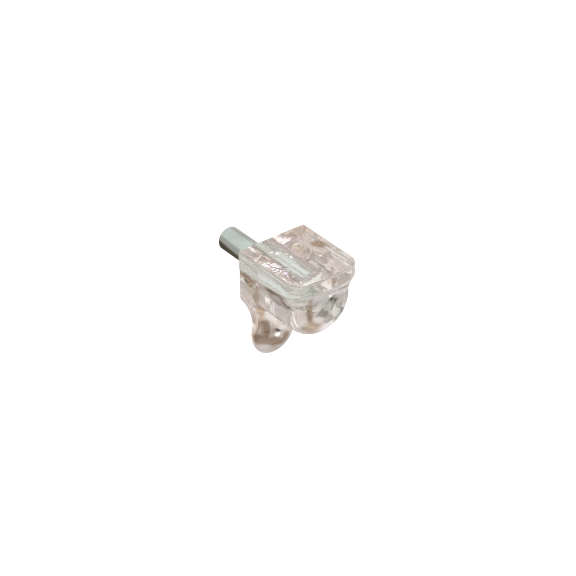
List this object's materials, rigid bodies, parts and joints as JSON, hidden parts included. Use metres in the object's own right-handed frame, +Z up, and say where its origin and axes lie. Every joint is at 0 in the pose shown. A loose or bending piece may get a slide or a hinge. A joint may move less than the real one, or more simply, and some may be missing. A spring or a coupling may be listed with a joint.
{
  "type": "shelf support pin",
  "caption": "Clear moulded shelf support with a steel pin for a drilled side panel, a flat plate under the shelf and a tongue that bears on the panel.",
  "frame": {"origin": "where the pin's axis meets the wall face of the moulding", "axes": "+Z up, towards the shelf; +Y along the pin, into the side panel; -Y out from the panel; +X to the right as seen from the front, looking at the panel"},
  "size_m": [0.016, 0.0318, 0.0262],
  "materials": {
    "clear_plastic": "clear, glossy, faintly warm grey",
    "pin_steel": "satin zinc-plated steel"
  },
  "bodies": {
    "root": {"clear_body": "clear_plastic", "steel_pin": "pin_steel"}
  },
  "joints": []
}
